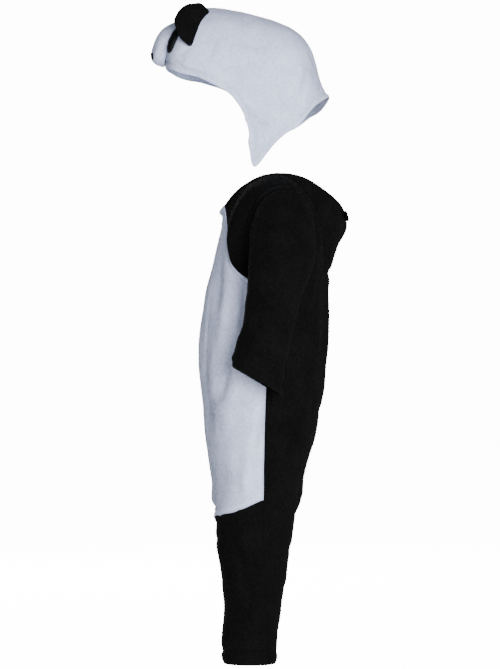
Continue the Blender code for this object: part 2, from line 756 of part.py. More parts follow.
def lifted(place):
    """A point of the hood where it comes to lie with the right flap a little higher than the left."""
    weight = smoothstep(-place[0], *LIFT_REACH) * smoothstep(-place[2], *LIFT_DROP)
    return place + (0.0, 0.0, read(RIGHT_LIFT, place[1])[0] * weight)


def make_hood():
    """The hood's outer surface: two sides that meet over the crown."""
    hood = Cloth()
    to_tip = np.linspace(0.0, TIP_PLACE, HOOD_FACE_COLUMNS + 1)
    from_tip = np.linspace(TIP_PLACE, 1.0, HOOD_NECK_COLUMNS + 1)
    places = [*to_tip, *from_tip[1:]]
    edges = [read(EDGE, place) for place in places]
    columns = [hood.row([edges[0]])]
    columns += [hood.row(hood_column(place, edge)) for place, edge in zip(places[1:-1], edges[1:-1])]
    columns.append(hood.row([edges[-1]]))
    hood.rows("hood_left", list(reversed(columns)))
    hood.mirror("hood_left", "hood_right")
    hood.relax(lambda p: abs(p[0]) > 0.001, 2, 0.4)
    hood.fold(HOOD_FOLDS)
    hood.points = [lifted(place) for place in hood.points]
    return hood


def cast(tree, start, direction):
    """Where a line from start meets the surface, and the surface's outward direction there."""
    place, normal, _, _ = tree.ray_cast(Vector(start), Vector(direction))
    if place is None:
        raise ValueError(f"nothing to lie on from {start}")
    normal = np.array(normal)
    if np.dot(normal, direction) > 0:
        normal = -normal
    return np.array(place), normal


def pad_outline(pad, turn):
    """How far an outline point of the pad lies from its centre."""
    right, up = unit(np.array(pad.right, float)), unit(np.array(pad.up, float))
    c, s = math.cos(turn), math.sin(turn)
    shape = (abs(c) ** pad.squareness + abs(s) ** pad.squareness) ** (-1 / pad.squareness)
    return (right * c * pad.half_width + up * s * pad.half_height) * shape


def pad_on(tree, pad):
    """A pad that lies on a surface: an oval back on it, a rim and a domed front that may sag."""
    up = unit(np.array(pad.up, float))
    inward = np.cross(up, unit(np.array(pad.right, float)))
    backs, fronts = [], []
    for ring in range(pad.rings + 1):
        share = ring / pad.rings
        turns = [2 * math.pi * k / pad.spokes for k in range(pad.spokes if ring else 1)]
        swell = pad.rim + (pad.crown - pad.rim) * (1 - share**2.4) ** 0.5
        droop = up * (-pad.sag * (1 - share**2) ** 0.5)
        on = [cast(tree, pad.centre + pad_outline(pad, turn) * share, inward)[0] for turn in turns]
        backs.append([place - inward * pad.gap for place in on])
        fronts.append([place - inward * (pad.gap + swell) + droop for place in on])
    return close_pad(backs, fronts, pad.spokes)


def close_pad(backs, fronts, spokes):
    """Joins a pad's back and front rings into one closed skin."""
    points, faces = [], []
    starts = {}
    for side, rings in (("back", backs), ("front", fronts)):
        for ring, places in enumerate(rings):
            starts[side, ring] = len(points)
            points.extend(places)
    for side in ("back", "front"):
        for ring in range(1, len(backs)):
            inner, outer = starts[side, ring - 1], starts[side, ring]
            for k in range(spokes):
                n = (k + 1) % spokes
                if ring == 1:
                    face = (inner, outer + k, outer + n)
                else:
                    face = (inner + k, outer + k, outer + n, inner + n)
                faces.append(face if side == "front" else tuple(reversed(face)))
    back, front = starts["back", len(backs) - 1], starts["front", len(backs) - 1]
    for k in range(spokes):
        n = (k + 1) % spokes
        faces.append((front + k, back + k, back + n, front + n))
    return points, faces


def ear_section(tree, share):
    """One section across the left ear, from its base on the hood over the edge and back."""
    y, z = along(EAR_BASE, share)
    ahead_y, ahead_z = along(EAR_BASE, min(1.0, share + 0.02)) - along(EAR_BASE, max(0.0, share - 0.02))
    run = unit(np.array([0.0, ahead_y, ahead_z]))
    across = np.cross(run, (1.0, 0.0, 0.0))
    rounding = max(0.10, (1 - abs(2 * share - 1) ** 2.4)) ** 0.5
    rounding *= 1 - EAR_TAPER * smoothstep(share, *EAR_TAPER_SPAN)
    half = EAR_HALF_THICKNESS * (0.45 + 0.55 * rounding)
    rise = unit(unit(np.array(EAR_LEAN)) - run * EAR_FAN * (1 - share) ** 2) * EAR_HEIGHT * rounding
    base = []
    for side in (-1, 1, 0):
        start = np.array([0.3, y, z]) + across * half * side
        place, normal = cast(tree, start, (-1.0, 0.0, 0.0))
        base.append(place + normal * EAR_GAP)
    middle, spread = (base[0] + base[1]) / 2, (base[1] - base[0]) / 2
    turns = [math.pi * k / EAR_ARC_FACES for k in range(EAR_ARC_FACES + 1)]
    return [middle - spread * math.cos(turn) + rise * math.sin(turn) ** 0.8 for turn in turns] + [base[2]]


def ear_on(tree):
    """The left ear: a stuffed half round whose base runs down the hood's side."""
    sections = [ear_section(tree, i / EAR_SECTIONS) for i in range(EAR_SECTIONS + 1)]
    ring = len(sections[0])
    faces = []
    for i in range(EAR_SECTIONS):
        for k in range(ring):
            n = (k + 1) % ring
            a, b = i * ring, (i + 1) * ring
            faces.append((a + n, b + n, b + k, a + k))
    faces.append(tuple(reversed(range(ring))))
    faces.append(tuple(EAR_SECTIONS * ring + k for k in range(ring)))
    return [point for section in sections for point in section], faces


def material(look):
    """The Principled material of this name, colour and roughness."""
    name, colour, roughness = look
    made = bpy.data.materials.get(name)
    if made is None:
        made = bpy.data.materials.new(name)
        made.use_nodes = True
        shader = made.node_tree.nodes["Principled BSDF"]
        shader.inputs["Base Color"].default_value = colour
        shader.inputs["Roughness"].default_value = roughness
        shader.inputs["Metallic"].default_value = 0.0
    return made


def add_object(name, points, faces, look):
    """One named solid in the costume's collection."""
    mesh = bpy.data.meshes.new(name)
    mesh.from_pydata([tuple(map(float, p)) for p in points], [], faces)
    mesh.shade_smooth()
    mesh.materials.append(material(look))
    made = bpy.data.objects.new(name, mesh)
    bpy.data.collections[COLLECTION].objects.link(made)


def add_pair(name, points, faces, look):
    """A piece on the left and its mirror image on the right."""
    add_object(name + "_left", points, faces, look)
    mirrored = [np.array(p) * (-1, 1, 1) for p in points]
    add_object(name + "_right", mirrored, [tuple(reversed(face)) for face in faces], look)


def clear_scene():
    """Empties the scene and makes the costume's collection."""
    for old in list(bpy.data.objects):
        bpy.data.objects.remove(old, do_unlink=True)
    made = bpy.data.collections.new(COLLECTION)
    bpy.context.scene.collection.children.link(made)


def main():
    """Builds both garments."""
    clear_scene()
    suit = make_suit()
    normals = suit.normals()
    for panel in suit.panels:
        add_object(panel, *wall(suit, panel, normals, CLOTH), WHITE if panel == "belly_front" else BLACK)
    add_object("neck_tab_back", *pad_on(suit.tree(), NECK_TAB), BLACK)

    hood = make_hood()
    normals = hood.normals()
    for panel in hood.panels:
        add_object(panel, *wall(hood, panel, normals, CLOTH), WHITE)
    tree = hood.tree()
    muzzle_points, muzzle_faces = pad_on(tree, MUZZLE)
    add_object("muzzle", muzzle_points, muzzle_faces, WHITE)
    muzzle_tree = BVHTree.FromPolygons([Vector(p) for p in muzzle_points], muzzle_faces)
    add_object("nose", *pad_on(muzzle_tree, NOSE), NOSE_BLACK)
    add_pair("eye_patch", *pad_on(tree, EYE_PATCH), BLACK)
    add_pair("ear", *ear_on(tree), BLACK)


main()
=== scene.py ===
"""Looks of the hooded panda costume: plush panels, pile, hems and stuffed face pieces on its frame.

The outside of each garment is taken from the frame's solids, made smooth, creased and cut apart
again at its seams. Each panel is then a thin shell with a lining side, and short pile stands on it.
Metres, +Z up, the front faces -Y and the wearer's left is +X.
"""

import math
from collections import namedtuple

import bmesh
import bpy
import numpy as np
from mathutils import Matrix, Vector, noise
from mathutils.bvhtree import BVHTree
from mathutils.kdtree import KDTree


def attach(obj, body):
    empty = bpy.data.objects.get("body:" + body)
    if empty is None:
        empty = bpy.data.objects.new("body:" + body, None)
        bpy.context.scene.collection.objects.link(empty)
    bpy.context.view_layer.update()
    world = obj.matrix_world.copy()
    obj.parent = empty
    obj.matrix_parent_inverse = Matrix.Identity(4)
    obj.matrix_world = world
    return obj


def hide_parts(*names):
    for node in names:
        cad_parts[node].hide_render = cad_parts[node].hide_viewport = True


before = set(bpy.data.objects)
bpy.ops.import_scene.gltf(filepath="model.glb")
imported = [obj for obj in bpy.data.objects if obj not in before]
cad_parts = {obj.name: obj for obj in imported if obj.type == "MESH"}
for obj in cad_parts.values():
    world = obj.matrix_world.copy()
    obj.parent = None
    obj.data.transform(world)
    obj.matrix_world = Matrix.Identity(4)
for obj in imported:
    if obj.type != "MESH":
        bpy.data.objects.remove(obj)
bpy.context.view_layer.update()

# The photograph, taken straight from the wearer's left: its size in pixels, the real size of a pixel in
# the costume's middle plane, and the pixel that shows the frame's origin
IMAGE_WIDTH, IMAGE_HEIGHT = 500, 669
PIXEL = 0.0017
ORIGIN_PX, ORIGIN_PY = 283, 180
# The camera stands this far from the middle plane. Its sensor spans the longer side of the image.
CAMERA_DISTANCE = 6.0
SENSOR = 36.0

# Each panel's cut and its material slot. A right panel is cut as the left one is.
PANELS = {
    # name: flat width, flat length, flat area in square metres, slot
    "belly_front": (0.40, 0.55, 0.189, "white_plush"),
    "yoke_left": (0.16, 0.24, 0.0185, "black_plush"),
    "back_left": (0.30, 0.80, 0.148, "black_plush"),
    "front_leg_left": (0.20, 0.30, 0.0525, "black_plush"),
    "sleeve_left": (0.32, 0.36, 0.078, "black_plush"),
    "hood_left": (0.36, 0.40, 0.064, "white_plush"),
}
SUIT = (
    "belly_front", "yoke_left", "yoke_right", "back_left", "back_right", "front_leg_left",
    "front_leg_right", "sleeve_left", "sleeve_right",
)
HOOD = ("hood_left", "hood_right")

# The stuffed pieces of the face, and the tab at the nape
STUFFED = (
    # node, slot, look, height of its unevenness, size of that, fill
    ("muzzle", "white_plush", "white_plush", 0.0010, 0.020, 0.7),
    ("nose", "black_felt", "black_felt", 0.0001, 0.010, 0.8),
    ("ear_left", "black_plush", "black_plush", 0.0010, 0.014, 0.6),
    ("ear_right", "black_plush", "black_plush", 0.0010, 0.014, 0.6),
    # The eye patches take a lighter look, partly painted light
    ("eye_patch_left", "black_plush", "black_patch", 0.0004, 0.010, 0.3),
    ("eye_patch_right", "black_plush", "black_patch", 0.0004, 0.010, 0.3),
    ("neck_tab_back", "black_plush", "black_plush", 0.0003, 0.010, 0.3),
)

# Cloths: the colour deep between the tufts and on their tips, the sheen, and the strength of the bumps
LOOKS = {
    # look: deep colour, pale colour, sheen, bump
    "white_plush": ((0.44, 0.50, 0.70), (0.62, 0.68, 0.90), 0.04, 0.5),
    "black_plush": ((0.0007, 0.0007, 0.0008), (0.0026, 0.0026, 0.0027), 0.0, 0.5),
    "black_felt": ((0.004, 0.004, 0.004), (0.008, 0.008, 0.008), 0.0, 0.2),
    # The eye patches: a lighter copy of the black plush, painted light that lifts them out of the shade round
    # the eyes, on top of their own paler tone
    "black_patch": ((0.005, 0.006, 0.0065), (0.010, 0.011, 0.012), 0.0, 0.3),
}
# Their patterns, as noise scale, detail and roughness: clumps of nap, the way it lies, and its fibres
CLUMPS = (210.0, 3.0, 0.6)
LIE = (26.0, 2.0, 0.5)
FIBRES = (620.0, 2.0, 0.6)
# The clumps' share in the colour, where the lie makes up the rest, and in the bumps, where the fibres do
CLUMP_COLOUR = 0.6
CLUMP_HEIGHT = 0.7
# Up to the first of these values of the pattern the cloth has its deep colour, from the second its pale one
DEEP_STOP, PALE_STOP = 0.36, 0.64
BUMP_HEIGHT = 0.0012
CLOTH_ROUGHNESS = 0.95
CLOTH_SPECULAR = 0.08
SHEEN_ROUGHNESS = 0.45
# How much the cloth darkens where its painted shade is 1
SHADE_STRENGTH = 0.35

# White surroundings: how bright the camera sees them, and how much light they give
WHITE_SEEN = 14.0
AMBIENT = 0.36
FLOOR_HALF = 12.0
FLOOR_Z = -0.95
FLOOR_COLOUR = (0.9, 0.9, 0.9)
WHITE = (1.0, 1.0, 1.0)
LIGHTS = (
    # name, place, towards, size, power
    ("front", (5.0, 1.3, 0.2), (0.0, -0.05, -0.25), 2.0, 500.0),
    ("far_side", (-4.5, -1.0, 1.5), (0.0, -0.05, -0.25), 3.0, 220.0),
)

# Places deep inside the hollows, to tell a wall's outside from its inside: a point in the hood, x and y
# in the left sleeve and the left leg, and y in the body. Everything below LEG_TOP is one leg or the other.
HOOD_CORE = (0.0, -0.06, 0.15)
SLEEVE_CORE = (0.2, -0.025)
LEG_CORE = (0.078, -0.055)
BODY_CORE_Y = -0.03
LEG_TOP = -0.62
# Corners nearer to each other than this are one: in a solid, and of two panels across their seam
SAME_POINT = 1e-5
WELD = 0.0012
# A wall's outside ends where it turns by more than this
RIM_ANGLE = math.radians(50)
# Two triangles become a quad where they are this flat and this square
QUAD_FLATNESS = math.radians(40)
QUAD_SQUARENESS = math.radians(60)
# Subdivision of the panels' outside, of their lining and of the stuffed pieces
FINE_LEVEL = 3
LINING_LEVEL = 2
STUFFED_LEVEL = 2
# Rounds in which the smooth surface is drawn to the solid's corners, and the share of the way in each
FIT_ROUNDS = 4
FIT_SHARE = 0.8
# Thickness of a panel's shell, and the angle past which its edges are shaded sharp
SHELL = 0.0026
SHARP_ANGLE = math.radians(55)
# Painted shade on the inside of the panels: none before this y, growing towards the nape and full after this
# run
PAINTED_LINING_SHADE = 1.3
LINING_SHADE_Y = -0.03
LINING_SHADE_RUN = 0.06

# Widths of the turned hems. The wide ones are those below CROTCH_Z.
LEG_HEM = 0.023
CUFF_HEM = 0.016
NARROW_HEM = 0.009
CROTCH_Z = -0.60
# Seams and hems are watched up to this distance
EDGE_REACH = 0.03
# Hills across a seam or an edge: height, place and spread
SEAM_DIP = (-0.0013, 0.0, 0.0034)
SEAM_SWELL = (0.0005, 0.009, 0.005)
EDGE_ROUND = (-0.0010, 0.0, 0.0022)
# Painted shade along a seam's dip: strength, place and spread
SEAM_SHADE = (1.0, 0.0, 0.0028)
# A hem's fullness lies at this share of its width, and spreads over this share
HEM_MIDDLE = 0.5
HEM_SPREAD = 0.3
# On the widest hem, and less on narrower ones: how full it is, how deep its stitches are, and the painted
# shade along them
HEM_FULL = 0.0016
STITCH_DIP = 0.0030
STITCH_SPREAD = 0.0042
STITCH_SHADE = 0.8
STITCH_SHADE_SPREAD = 0.0018
# How far the other seams draw in, as a share of what those of the white front do
SOFT_SEAM = 0.4
# Painted shade in the creases, full from this depth on
CREASE_SHADE = 0.4
CREASE_DEPTH = 0.003
# Unevenness of the cloth: height, size and seed of its waves, calmer near a free edge, and of its grain
WAVES = ((0.0012, 0.050, 1), (0.0003, 0.016, 2))
GRAIN = (0.0001, 0.0055, 3)
CALM_REACH = 0.02
CALM_LEAST = 0.3
# How far apart two seeds look into the same noise, in the sizes of its features
NOISE_STEPS = (7.31, 3.17, 5.03)

# The hood's soft edge hangs this far below its solid's, and that fades away from it with this spread
HOOD_SAG = 0.0020
HOOD_SAG_SPREAD = 0.014
# The ears stand taller than their solids by this share, fully from EAR_FREE off the head, and further back
EAR_STRETCH = 0.17
EAR_FREE = 0.012
EAR_BACK = 0.0034
# Their lowest part, of this height, is rounded: its tip is drawn this share of the way to EAR_TIP_Y
EAR_TIP = 0.010
EAR_TIP_Y = -0.158
EAR_TIP_SHARE = 0.6
EAR_TIP_CURVE = 1.5
# How far the tab at the nape is moved up
TAB_RISE = 0.0040

# Pile: one thin blade is a tuft. Blades per square metre of cloth, and on each stuffed piece
PILE_DENSITY = 300000
STUFFED_BLADES = 3000
PILE_LENGTH = 0.0019
# Least and most of a blade: its length beside PILE_LENGTH, half its width, its rise and its lean
BLADE_LENGTHS = (0.6, 1.1)
BLADE_HALVES = (0.00018, 0.00030)
BLADE_RISE = (0.45, 0.95)
BLADE_LEAN = (0.35, 0.8)
# How far the lean strays from straight down, and how deep a blade's root lies
LEAN_SPREAD = 0.45
ROOT_DEPTH = 0.0003
# First seeds of the stuffed pieces, for their unevenness and their pile
UNEVEN_SEED = 20
STUFFED_PILE_SEED = 40
# The pile is sparse beside a seam: this near it, and back to full within that run
SPARSE_EDGE = 0.002
SPARSE_RUN = 0.006
SPARSE_LEAST = 0.1

# Creases and soft folds, each through points of one view. Width and depth are in millimetres, and a
# negative depth is a trough. The side folds lie on the left side, and again on the right, shifted a
# little and less deep.
SIDE_FOLDS = (
    # part, pixels of the photograph, width, depth
    ("body", ((222, 246), (220, 270), (219, 292), (216, 316)), 6.0, -3.0),
    ("body", ((230, 262), (228, 292), (224, 320), (219, 350)), 8.0, 3.2),
    ("body", ((241, 280), (242, 308), (238, 338)), 6.0, -4.4),
    ("body", ((231, 340), (227, 362), (224, 380), (219, 396), (209, 406)), 9.0, -4.4),
    ("body", ((214, 346), (212, 372), (210, 400)), 5.5, 2.2),
    ("body", ((238, 376), (232, 400), (224, 428)), 9.0, 2.0),
    ("body", ((214, 240), (210, 275), (207, 316), (206, 345)), 6.0, 2.4),
    ("body", ((206, 362), (208, 392), (213, 430)), 4.5, -2.4),
    ("body", ((262, 398), (260, 424), (255, 446)), 5.5, -3.4),
    ("body", ((247, 452), (244, 476), (247, 500)), 7.0, 2.0),
    ("body", ((226, 430), (223, 462), (228, 492)), 8.0, -1.2),
    ("body", ((236, 398), (248, 408), (256, 404)), 5.0, -1.6),
    ("body", ((316, 200), (317, 241), (314, 262), (312, 294), (307, 335)), 4.0, 3.2),
    ("body", ((311, 196), (312, 226), (310, 252)), 4.5, -3.6),
    ("body", ((322, 214), (327, 236), (322, 268), (321, 300)), 5.0, -3.0),
    ("body", ((331, 206), (335, 226), (330, 246)), 4.0, -2.4),
    ("body", ((326, 222), (338, 232)), 3.5, -2.0),
    ("body", ((333, 192), (337, 197)), 2.6, 1.8),
    ("body", ((338, 199), (341, 202)), 2.2, -1.8),
    ("body", ((318, 330), (311, 362), (300, 390)), 6.0, -2.8),
    ("body", ((314, 392), (311, 412)), 5.0, -2.0),
    ("body", ((300, 400), (294, 436), (280, 470)), 7.0, -2.4),
    ("body", ((276, 410), (281, 440), (276, 478)), 6.5, 2.2),
    ("body", ((288, 500), (274, 520), (268, 552)), 6.0, -2.4),
    ("body", ((228, 528), (240, 548), (246, 580)), 6.0, -2.4),
    ("body", ((234, 600), (250, 612), (262, 608)), 5.0, -2.0),
    ("body", ((226, 622), (240, 632), (256, 630)), 4.5, -2.2),
    ("body", ((252, 560), (256, 590), (254, 618)), 6.0, 1.6),
    ("body", ((254, 559), (259, 563), (265, 567)), 4.0, -2.4),
    ("sleeve", ((262, 196), (258, 232), (256, 268)), 6.0, 2.2),
    ("sleeve", ((290, 190), (296, 222), (297, 250)), 6.5, -2.6),
    ("sleeve", ((276, 216), (280, 256), (273, 296)), 7.5, 1.8),
    ("sleeve", ((252, 288), (262, 306), (278, 314)), 4.5, -2.6),
    ("sleeve", ((296, 262), (286, 284), (270, 296)), 5.0, -2.6),
    ("sleeve", ((250, 318), (260, 330), (272, 336)), 4.5, -2.2),
    ("sleeve", ((242, 344), (256, 350), (270, 364)), 5.0, -2.4),
    ("sleeve", ((286, 318), (276, 338), (272, 358)), 5.0, 2.0),
    ("hood", ((242, 106), (249, 114), (258, 124), (270, 134)), 4.5, -3.2),
    ("hood", ((256, 117), (258, 134), (258, 150)), 5.0, 2.2),
    ("hood", ((307, 68), (304, 82), (299, 102)), 5.0, -3.6),
    ("hood", ((315, 74), (314, 90), (316, 100)), 4.5, 2.0),
    ("hood", ((176, 64), (184, 71), (196, 76), (208, 79)), 2.6, -2.2),
    ("hood", ((188, 52), (182, 58), (184, 66)), 4.5, -1.8),
    ("hood", ((206, 34), (214, 48), (212, 62)), 6.0, -1.6),
    ("hood", ((236, 44), (254, 52), (270, 50)), 6.0, -1.2),
    ("hood", ((262, 84), (278, 96), (284, 112)), 6.0, -1.4),
    ("hood", ((226, 66), (244, 80), (256, 98)), 6.5, 1.4),
)
FRONT_FOLDS = (
    # part, places as x and z in metres, width, depth
    ("body", ((0.012, -0.100), (0.016, -0.180), (0.008, -0.270)), 6.0, -2.4),
    ("body", ((-0.020, -0.120), (-0.030, -0.210), (-0.026, -0.300)), 6.5, -2.0),
    ("body", ((0.050, -0.160), (0.060, -0.250), (0.052, -0.330)), 7.0, 1.6),
    ("body", ((-0.058, -0.170), (-0.066, -0.240), (-0.056, -0.310)), 7.0, 1.7),
    ("body", ((-0.004, -0.330), (0.010, -0.410), (0.004, -0.500)), 8.0, 1.5),
    ("body", ((0.030, -0.430), (0.018, -0.490), (0.006, -0.560)), 6.0, -2.2),
    ("body", ((-0.040, -0.440), (-0.026, -0.500), (-0.010, -0.565)), 6.0, -2.0),
    ("body", ((0.120, -0.586), (0.080, -0.606), (0.030, -0.602)), 6.0, -1.4),
    ("body", ((-0.112, -0.580), (-0.070, -0.606), (-0.028, -0.598)), 6.0, -1.2),
    ("body", ((0.110, -0.562), (0.040, -0.571), (-0.036, -0.570), (-0.112, -0.559)), 7.0, 7.4),
    ("body", ((0.052, -0.048), (0.022, -0.055), (-0.020, -0.055), (-0.050, -0.048)), 5.0, 4.4),
    ("body", ((0.060, -0.650), (0.082, -0.690), (0.100, -0.740)), 6.0, -2.0),
    ("body", ((-0.100, -0.640), (-0.080, -0.690), (-0.064, -0.730)), 6.0, -2.0),
    ("hood", ((0.010, 0.150), (0.014, 0.220), (0.006, 0.262)), 6.0, -0.8),
)
BACK_FOLDS = (
    # part, places as x and z in metres, width, depth
    ("body", ((0.020, -0.080), (0.036, -0.150), (0.030, -0.260)), 7.0, -2.6),
    ("body", ((-0.026, -0.075), (-0.030, -0.140), (-0.040, -0.240)), 7.0, -2.4),
    ("body", ((0.060, -0.060), (0.070, -0.130), (0.072, -0.220)), 7.5, 2.2),
    ("body", ((-0.064, -0.064), (-0.070, -0.140), (-0.066, -0.230)), 7.5, 2.0),
    ("body", ((0.050, -0.280), (0.020, -0.350), (0.014, -0.430)), 8.0, -2.2),
    ("body", ((-0.070, -0.300), (-0.034, -0.370), (-0.030, -0.440)), 8.0, -2.0),
    ("body", ((0.080, -0.470), (0.050, -0.520), (0.016, -0.560)), 8.0, -1.6),
    ("body", ((-0.086, -0.460), (-0.050, -0.514), (-0.014, -0.562)), 8.0, -1.5),
    ("body", ((0.110, -0.590), (0.080, -0.622), (0.036, -0.624)), 7.0, -1.6),
    ("body", ((-0.104, -0.596), (-0.076, -0.624), (-0.034, -0.630)), 7.0, -1.4),
    ("body", ((0.112, -0.150), (0.030, -0.160), (-0.040, -0.157), (-0.110, -0.152)), 8.0, -4.4),
    ("body", ((0.096, -0.384), (0.010, -0.392), (-0.092, -0.387)), 5.5, -2.0),
    ("body", ((0.116, -0.526), (0.050, -0.530), (-0.046, -0.529), (-0.118, -0.524)), 5.0, -1.8),
    ("body", ((0.120, -0.547), (0.050, -0.552), (-0.046, -0.551), (-0.122, -0.545)), 7.5, 4.8),
    ("body", ((0.090, -0.004), (0.052, -0.030), (0.000, -0.050), (-0.050, -0.031), (-0.088, -0.005)),
     9.0, 3.4),
    ("body", ((0.050, -0.660), (0.084, -0.690), (0.106, -0.680)), 5.5, -1.8),
    ("body", ((-0.050, -0.670), (-0.080, -0.700), (-0.106, -0.694)), 5.5, -1.8),
    ("hood", ((0.034, 0.170), (0.038, 0.210), (0.030, 0.250)), 7.0, -1.6),
    ("hood", ((-0.036, 0.164), (-0.042, 0.205), (-0.032, 0.240)), 7.0, -1.6),
    ("hood", ((0.000, 0.160), (0.003, 0.200), (0.000, 0.240)), 7.0, 1.2),
)
MILLIMETRE = 0.001
# The flanks beside a fold, how it fades towards its ends, and how soon it fades where the cloth turns away
FOLD_FLANK = 0.45
FOLD_END = 0.02
FOLD_FADE = 0.6
FACING_GAIN = 2.5
# The right side's folds: the most that one is shifted, its turn from one to the next, slant and depth
RIGHT_SHIFT = 0.006
RIGHT_TURN = 2.4
RIGHT_SLANT = 0.8
RIGHT_DEPTH = 0.85

# A piece in the making: its object, and the points, normals and quads that its pile stands on. Cover
# tells for each point how dense the pile is.
Cloth = namedtuple("Cloth", "obj points normals quads cover")


def smooth_side(first):
    """The faces joined to the first one without crossing a sharp edge."""
    found, waiting = {first}, [first]
    while waiting:
        face = waiting.pop()
        for edge in face.edges:
            if len(edge.link_faces) == 2 and edge.calc_face_angle() < RIM_ANGLE:
                for other in edge.link_faces:
                    if other not in found:
                        found.add(other)
                        waiting.append(other)
    return found


def core_of(name, place):
    """A point inside the garment, near this place on it."""
    if name in HOOD:
        return Vector(HOOD_CORE)
    if name.startswith("sleeve"):
        x, y = SLEEVE_CORE
        return Vector((x if name.endswith("left") else -x, y, place.z))
    if place.z < LEG_TOP:
        x, y = LEG_CORE
        return Vector((math.copysign(x, place.x), y, place.z))
    return Vector((0.0, BODY_CORE_Y, place.z))


def facing_out(name, side):
    """How much of this side of a panel's wall faces away from the garment's core."""
    total = 0.0
    for face in side:
        middle = face.calc_center_median()
        total += face.calc_area() * face.normal.dot((middle - core_of(name, middle)).normalized())
    return total


def outer_side(name):
    """Points and faces of the outside of a panel's wall."""
    bm = bmesh.new()
    bm.from_mesh(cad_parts[name].data)
    bmesh.ops.remove_doubles(bm, verts=bm.verts, dist=SAME_POINT)
    bm.normal_update()
    sides, left = [], set(bm.faces)
    while left:
        side = smooth_side(next(iter(left)))
        left -= side
        sides.append(sorted(side, key=lambda face: face.index))
    sides.sort(key=lambda side: -sum(face.calc_area() for face in side))
    outer = max(sides[:2], key=lambda side: facing_out(name, side))
    verts = sorted({v for face in outer for v in face.verts}, key=lambda v: v.index)
    order = {v: k for k, v in enumerate(verts)}
    points = [tuple(v.co) for v in verts]
    faces = [tuple(order[v] for v in face.verts) for face in outer]
    bm.free()
    return points, faces


def join_to_quads(bm):
    """Makes quads of the triangles, within each panel."""
    bmesh.ops.join_triangles(
        bm, faces=bm.faces, cmp_materials=True,
        angle_face_threshold=QUAD_FLATNESS, angle_shape_threshold=QUAD_SQUARENESS,
    )


def garment_cage(names):
    """One mesh over a garment's panels, welded at the seams; the material index tells the panel."""
    bm = bmesh.new()
    for mark, name in enumerate(names):
        points, faces = outer_side(name)
        verts = [bm.verts.new(p) for p in points]
        for face in faces:
            bm.faces.new([verts[k] for k in face]).material_index = mark
    bmesh.ops.remove_doubles(bm, verts=bm.verts, dist=WELD)
    join_to_quads(bm)
    mesh = bpy.data.meshes.new("cage")
    bm.to_mesh(mesh)
    bm.free()
    return mesh


def evaluated(obj):
    """Points, quads and panel marks of an object with its subdivision."""
    mesh = obj.evaluated_get(bpy.context.evaluated_depsgraph_get()).data
    points = np.empty(len(mesh.vertices) * 3)
    mesh.vertices.foreach_get("co", points)
    corners = np.empty(len(mesh.loops), int)
    mesh.loops.foreach_get("vertex_index", corners)
    marks = np.empty(len(mesh.polygons), int)
    mesh.polygons.foreach_get("material_index", marks)
    return points.reshape(-1, 3), corners.reshape(-1, 4), marks


def refined(mesh, levels):
    """The cage at each level of subdivision, on a smooth surface through the cage's own points."""
    obj = bpy.data.objects.new("cage", mesh)
    bpy.context.scene.collection.objects.link(obj)
    # A mark is kept only where the mesh has a material slot for it
    for _ in SUIT:
        mesh.materials.append(None)
    modifier = obj.modifiers.new("fine", "SUBSURF")
    modifier.boundary_smooth = "PRESERVE_CORNERS"
    modifier.levels = 1
    target = np.empty(len(mesh.vertices) * 3)
    mesh.vertices.foreach_get("co", target)
    target = target.reshape(-1, 3)
    control = target.copy()
    for _ in range(FIT_ROUNDS):
        mesh.vertices.foreach_set("co", control.ravel())
        mesh.update()
        points = evaluated(obj)[0]
        control += (target - points[: len(target)]) * FIT_SHARE
    mesh.vertices.foreach_set("co", control.ravel())
    mesh.update()
    found = []
    for level in levels:
        modifier.levels = level
        found.append(evaluated(obj))
    bpy.data.objects.remove(obj)
    return found


def seen(px, py):
    """The place in the middle plane that the photograph shows at this pixel, as y and z."""
    return ((px - ORIGIN_PX) * PIXEL, (ORIGIN_PY - py) * PIXEL)


def unit(vectors):
    """These vectors at length 1."""
    return vectors / np.maximum(np.linalg.norm(vectors, axis=1, keepdims=True), 1e-12)


def point_normals(points, quads):
    """Outward directions at the points."""
    a, b, c, d = (points[quads[:, k]] for k in range(4))
    across = np.cross(c - a, d - b)
    total = np.zeros_like(points)
    for k in range(4):
        np.add.at(total, quads[:, k], across)
    return unit(total)


def border_edges(quads):
    """Directed edges that only one of these faces has."""
    edges = np.vstack([quads[:, (k, (k + 1) % 4)] for k in range(4)])
    both = {(int(a), int(b)) for a, b in edges}
    return [(a, b) for a, b in sorted(both) if (b, a) not in both]


def search_tree(places):
    """A tree that finds the nearest of these places."""
    tree = KDTree(len(places))
    for k, place in enumerate(places):
        tree.insert(place, k)
    tree.balance()
    return tree


def edge_distance(points, places):
    """How far each point lies from the nearest of these places, up to EDGE_REACH."""
    if not places:
        return np.full(len(points), EDGE_REACH)
    tree = search_tree(places)
    return np.array([min(EDGE_REACH, tree.find(point)[2]) for point in points])


def seam_and_free(points, quads, marks):
    """How far each point lies from a seam of its panel, and from a free edge of it."""
    seam = np.full(len(points), EDGE_REACH)
    free = np.full(len(points), EDGE_REACH)
    open_points = {p for edge in border_edges(quads) for p in edge}
    for mark in np.unique(marks):
        own = quads[marks == mark]
        used = np.unique(own)
        border = {p for edge in border_edges(own) for p in edge}
        for distance, ends in ((seam, border - open_points), (free, border & open_points)):
            places = [points[p] for p in sorted(ends)]
            distance[used] = np.minimum(distance[used], edge_distance(points[used], places))
    return seam, free


def in_panels(count, quads, marks, names, start):
    """Which of a garment's points lie in a panel whose name starts so."""
    chosen = np.zeros(count, bool)
    for mark, name in enumerate(names):
        if name.startswith(start):
            chosen[quads[marks == mark]] = True
    return chosen


